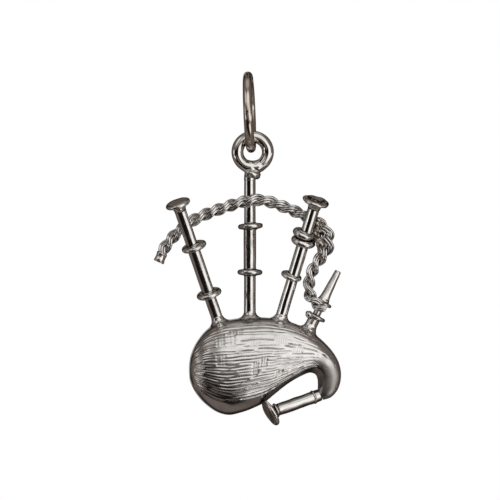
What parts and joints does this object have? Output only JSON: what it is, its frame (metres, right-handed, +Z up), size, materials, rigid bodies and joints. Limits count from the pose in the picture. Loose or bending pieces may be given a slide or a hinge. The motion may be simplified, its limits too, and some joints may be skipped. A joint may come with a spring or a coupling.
{
  "type": "bagpipes charm",
  "caption": "Polished silver charm in the form of Highland bagpipes, with an engraved bag, drones, a twisted wire cord and a jump ring that it swings on.",
  "frame": {"origin": "highest point of the jump ring's inside, where the link of a bracelet or chain bears on it", "axes": "+Z up along the charm's hanging height; the engraved front faces -Y; +X to the right, towards the blowpipe"},
  "size_m": [0.0139, 0.0068, 0.0266],
  "materials": {
    "polished_silver": "polished sterling silver",
    "jump_ring_silver": "polished silver wire with a slight warm tarnish",
    "engraved_silver": "silver engraved with fine lines, polished border",
    "silver_solder": "silver solder, slightly dull"
  },
  "bodies": {
    "ring": {"jump_ring": "jump_ring_silver"},
    "charm": {"bag_back_shell": "polished_silver", "bag_front_shell": "engraved_silver", "bail_ring": "polished_silver", "bail_solder_seat": "silver_solder", "bass_drone_lower_collar": "polished_silver", "bass_drone_pipe": "polished_silver", "bass_drone_upper_collar": "polished_silver", "blowpipe_lower_flange": "polished_silver", "blowpipe_mouthpiece": "polished_silver", "blowpipe_stock": "polished_silver", "blowpipe_upper_flange": "polished_silver", "blowpipe_waist": "polished_silver", "chanter_ferrule": "polished_silver", "chanter_rod": "polished_silver", "chanter_sole": "polished_silver", "cord_end_bead": "polished_silver", "cord_solder_drop": "silver_solder", "cord_strand_a": "polished_silver", "cord_strand_b": "polished_silver", "left_drone_cap": "polished_silver", "left_drone_lower_collar": "polished_silver", "left_drone_pipe": "polished_silver", "left_drone_upper_collar": "polished_silver", "right_drone_cap": "polished_silver", "right_drone_lower_collar": "polished_silver", "right_drone_middle_collar": "polished_silver", "right_drone_pipe": "polished_silver", "right_drone_upper_collar": "polished_silver"}
  },
  "joints": [
    {"name": "charm_swing", "type": "hinge", "parent": "ring", "child": "charm", "pos_m": [0, 0, -0.00505], "axis": [0.0436, 0.999, 0], "range_deg": [-135, 135]}
  ]
}
